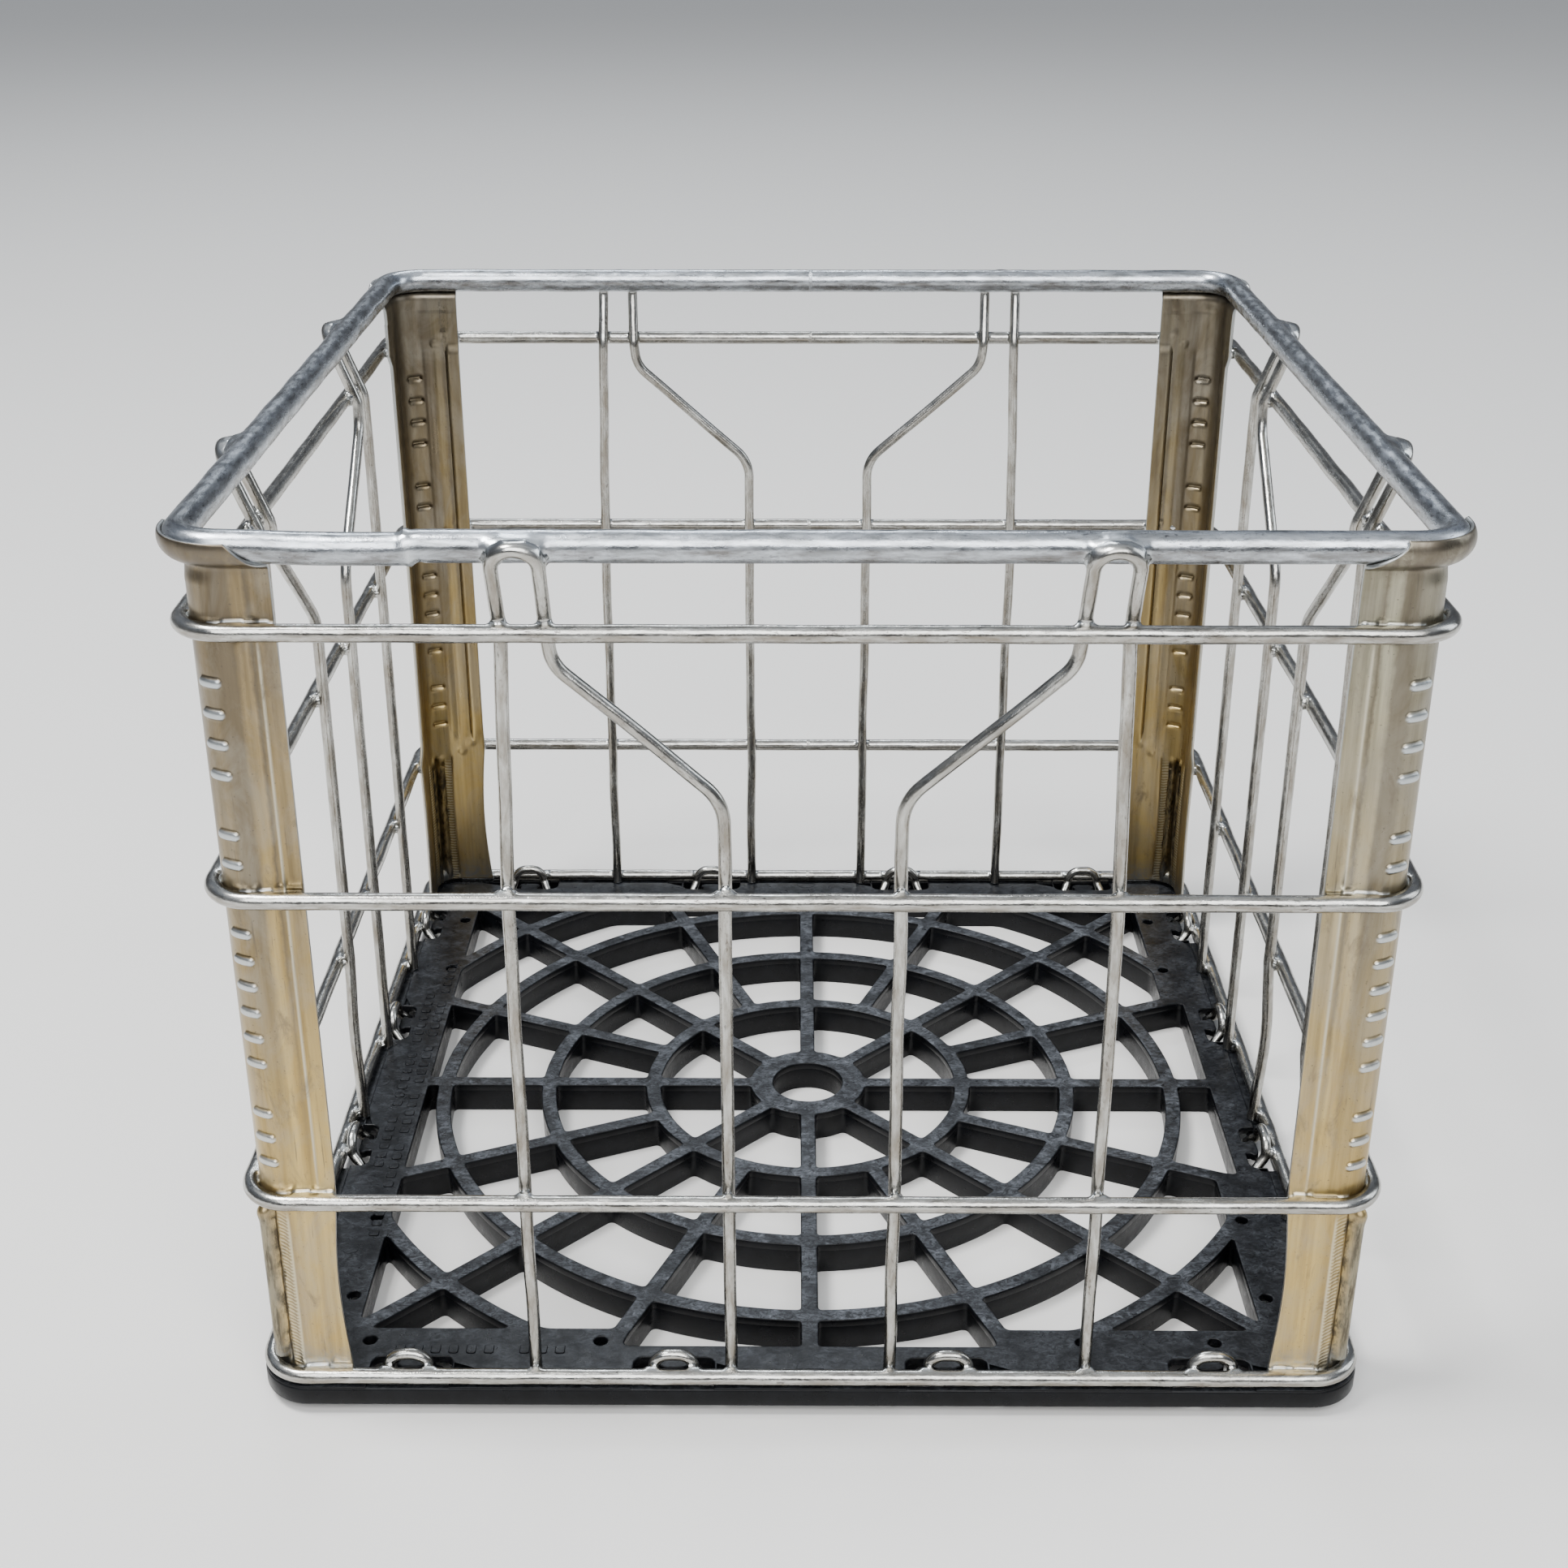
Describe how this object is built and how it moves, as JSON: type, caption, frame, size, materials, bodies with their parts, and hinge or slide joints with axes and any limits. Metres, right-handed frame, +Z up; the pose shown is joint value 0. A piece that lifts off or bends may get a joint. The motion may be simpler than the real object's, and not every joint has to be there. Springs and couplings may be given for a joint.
{
  "type": "milk bottle crate",
  "caption": "Square open-topped wire dairy crate with formed sheet corner posts and a moulded plastic grid base.",
  "frame": {"origin": "middle of the footprint, on the surface the crate stands on", "axes": "+Z up; -Y is the front side in the picture, +X its right side"},
  "size_m": [0.3396, 0.3396, 0.275],
  "materials": {
    "galvanised_rod": "hot-dip galvanised rod, mottled grey with pale bluish patches, satin, worn darker on top",
    "galvanised_wire": "galvanised wire, pale grey with darker mottling, satin, small zinc fillets at the welds",
    "galvanised_sheet": "aged galvanised sheet, warm grey to straw, vertical streaks, satin",
    "moulded_plastic": "black injection-moulded plastic, fine grain, with pale scuffs on the top faces"
  },
  "bodies": {
    "root": {"top_rim": "galvanised_rod", "upper_ring": "galvanised_wire", "middle_ring": "galvanised_wire", "lower_ring": "galvanised_wire", "base_ring": "galvanised_wire", "corner_post_front_left": "galvanised_sheet", "corner_post_front_right": "galvanised_sheet", "corner_post_rear_right": "galvanised_sheet", "corner_post_rear_left": "galvanised_sheet", "upright_front_left": "galvanised_wire", "upright_front_right": "galvanised_wire", "upright_right_front": "galvanised_wire", "upright_right_rear": "galvanised_wire", "upright_rear_right": "galvanised_wire", "upright_rear_left": "galvanised_wire", "upright_left_rear": "galvanised_wire", "upright_left_front": "galvanised_wire", "staple_front_1": "galvanised_wire", "staple_front_2": "galvanised_wire", "staple_front_3": "galvanised_wire", "staple_front_4": "galvanised_wire", "staple_right_1": "galvanised_wire", "staple_right_2": "galvanised_wire", "staple_right_3": "galvanised_wire", "staple_right_4": "galvanised_wire", "staple_rear_1": "galvanised_wire", "staple_rear_2": "galvanised_wire", "staple_rear_3": "galvanised_wire", "staple_rear_4": "galvanised_wire", "staple_left_1": "galvanised_wire", "staple_left_2": "galvanised_wire", "staple_left_3": "galvanised_wire", "staple_left_4": "galvanised_wire", "base_grid": "moulded_plastic"}
  },
  "joints": []
}
